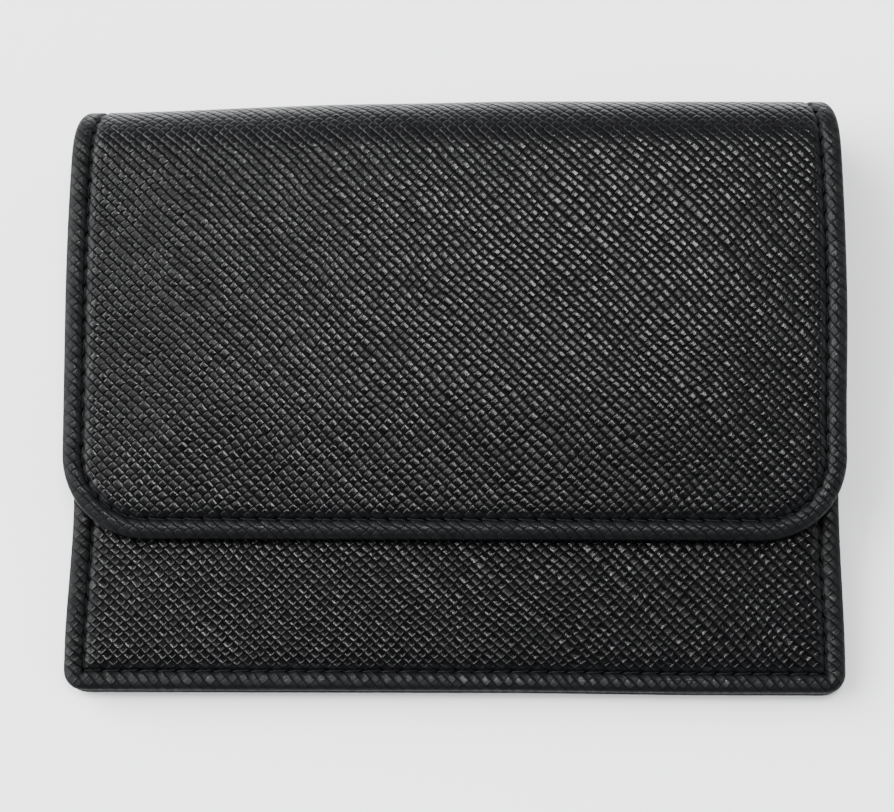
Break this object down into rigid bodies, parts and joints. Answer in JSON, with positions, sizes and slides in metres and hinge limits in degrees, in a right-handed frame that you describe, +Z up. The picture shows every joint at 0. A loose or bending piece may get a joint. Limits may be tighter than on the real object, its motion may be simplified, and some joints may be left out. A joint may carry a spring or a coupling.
{
  "type": "card holder",
  "caption": "Flap-over leather card holder, closed: round-cornered flap folded over a wide spine, gusseted front pocket, card slots inside and a hidden snap.",
  "frame": {"origin": "middle of the footprint, on the surface that the closed holder lies on, back down", "axes": "+X across the width to the right, +Y from the bottom seam to the spine, +Z up out of the flap"},
  "size_m": [0.11, 0.0848, 0.0153],
  "materials": {
    "cover_leather": "cross-hatch embossed, satin",
    "lining_leather": "smooth, matte",
    "gusset_leather": "smooth, satin",
    "bonded_leather_board": "rough",
    "filler_felt": "felted",
    "thread": "waxed",
    "snap_metal": "nickel plated, polished"
  },
  "bodies": {
    "back": {"back_cover": "cover_leather", "back_board": "bonded_leather_board", "back_filler": "filler_felt", "back_lining": "lining_leather", "card_slot_rear": "lining_leather", "card_slot_rear_margin": "lining_leather", "card_slot_front": "lining_leather", "card_slot_front_margin": "lining_leather", "card_slot_stitching": "thread", "back_stitching": "thread", "front_hem": "cover_leather", "hem_stitching": "thread", "gusset_left_back_tab": "gusset_leather", "gusset_right_back_tab": "gusset_leather"},
    "gusset_left_back": {"gusset_left_back_leaf": "gusset_leather"},
    "gusset_right_back": {"gusset_right_back_leaf": "gusset_leather"},
    "front_panel": {"front_cover": "cover_leather", "front_board": "bonded_leather_board", "front_filler": "filler_felt", "front_lining": "lining_leather", "front_stitching": "thread", "gusset_left_front_tab": "gusset_leather", "gusset_right_front_tab": "gusset_leather", "snap_stud": "snap_metal", "snap_post": "snap_metal"},
    "gusset_left_front": {"gusset_left_front_leaf": "gusset_leather"},
    "gusset_right_front": {"gusset_right_front_leaf": "gusset_leather"},
    "spine_lower": {"spine_lower_cover": "cover_leather", "spine_lower_strip": "bonded_leather_board", "spine_lower_lining": "lining_leather"},
    "spine_middle": {"spine_middle_cover": "cover_leather", "spine_middle_strip": "bonded_leather_board", "spine_middle_lining": "lining_leather"},
    "spine_upper": {"spine_upper_cover": "cover_leather", "spine_upper_strip": "bonded_leather_board", "spine_upper_lining": "lining_leather"},
    "flap": {"flap_cover": "cover_leather", "flap_board": "bonded_leather_board", "flap_filler": "filler_felt", "flap_lining": "lining_leather", "flap_stitching": "thread", "snap_socket": "snap_metal", "snap_cap": "snap_metal"}
  },
  "joints": [
    {"name": "spine_fold_lowest", "type": "hinge", "parent": "back", "child": "spine_lower", "pos_m": [0, 0.03776, 0.00062], "axis": [-1, 0, 0], "range_deg": [0, 46.5]},
    {"name": "spine_fold_low", "type": "hinge", "parent": "spine_lower", "child": "spine_middle", "pos_m": [0, 0.04193, 0.00501], "axis": [-1, 0, 0], "range_deg": [0, 46.5]},
    {"name": "spine_fold_high", "type": "hinge", "parent": "spine_middle", "child": "spine_upper", "pos_m": [0, 0.04161, 0.01105], "axis": [-1, 0, 0], "range_deg": [0, 46.5]},
    {"name": "flap_fold", "type": "hinge", "parent": "spine_upper", "child": "flap", "pos_m": [0, 0.03701, 0.01498], "axis": [-1, 0, 0], "range_deg": [0, 46.5]},
    {"name": "front_panel_fold", "type": "hinge", "parent": "back", "child": "front_panel", "pos_m": [0, -0.0389, 0.0022], "axis": [1, 0, 0], "range_deg": [0, 7.5]},
    {"name": "gusset_left_back_fold", "type": "hinge", "parent": "back", "child": "gusset_left_back", "pos_m": [-0.05, -0.0389, 0.0022], "axis": [0, -1, 0], "range_deg": [0, 35.1]},
    {"name": "gusset_right_back_fold", "type": "hinge", "parent": "back", "child": "gusset_right_back", "pos_m": [0.05, -0.0389, 0.0022], "axis": [0, 1, 0], "range_deg": [0, 35.1]},
    {"name": "gusset_left_front_fold", "type": "hinge", "parent": "front_panel", "child": "gusset_left_front", "pos_m": [-0.05, -0.0389, 0.0022], "axis": [0, 0.9945, 0.1045], "range_deg": [0, 35.1]},
    {"name": "gusset_right_front_fold", "type": "hinge", "parent": "front_panel", "child": "gusset_right_front", "pos_m": [0.05, -0.0389, 0.0022], "axis": [0, -0.9945, -0.1045], "range_deg": [0, 35.1]}
  ],
  "couplings": [
    {"joint": "spine_fold_low", "follows": "spine_fold_lowest", "ratio": 1},
    {"joint": "spine_fold_high", "follows": "spine_fold_lowest", "ratio": 1},
    {"joint": "flap_fold", "follows": "spine_fold_lowest", "ratio": 1},
    {"joint": "front_panel_fold", "follows": "spine_fold_lowest", "ratio": 0.16},
    {"joint": "gusset_left_back_fold", "follows": "spine_fold_lowest", "ratio": 0.754},
    {"joint": "gusset_right_back_fold", "follows": "spine_fold_lowest", "ratio": 0.754},
    {"joint": "gusset_left_front_fold", "follows": "spine_fold_lowest", "ratio": 0.754},
    {"joint": "gusset_right_front_fold", "follows": "spine_fold_lowest", "ratio": 0.754}
  ]
}
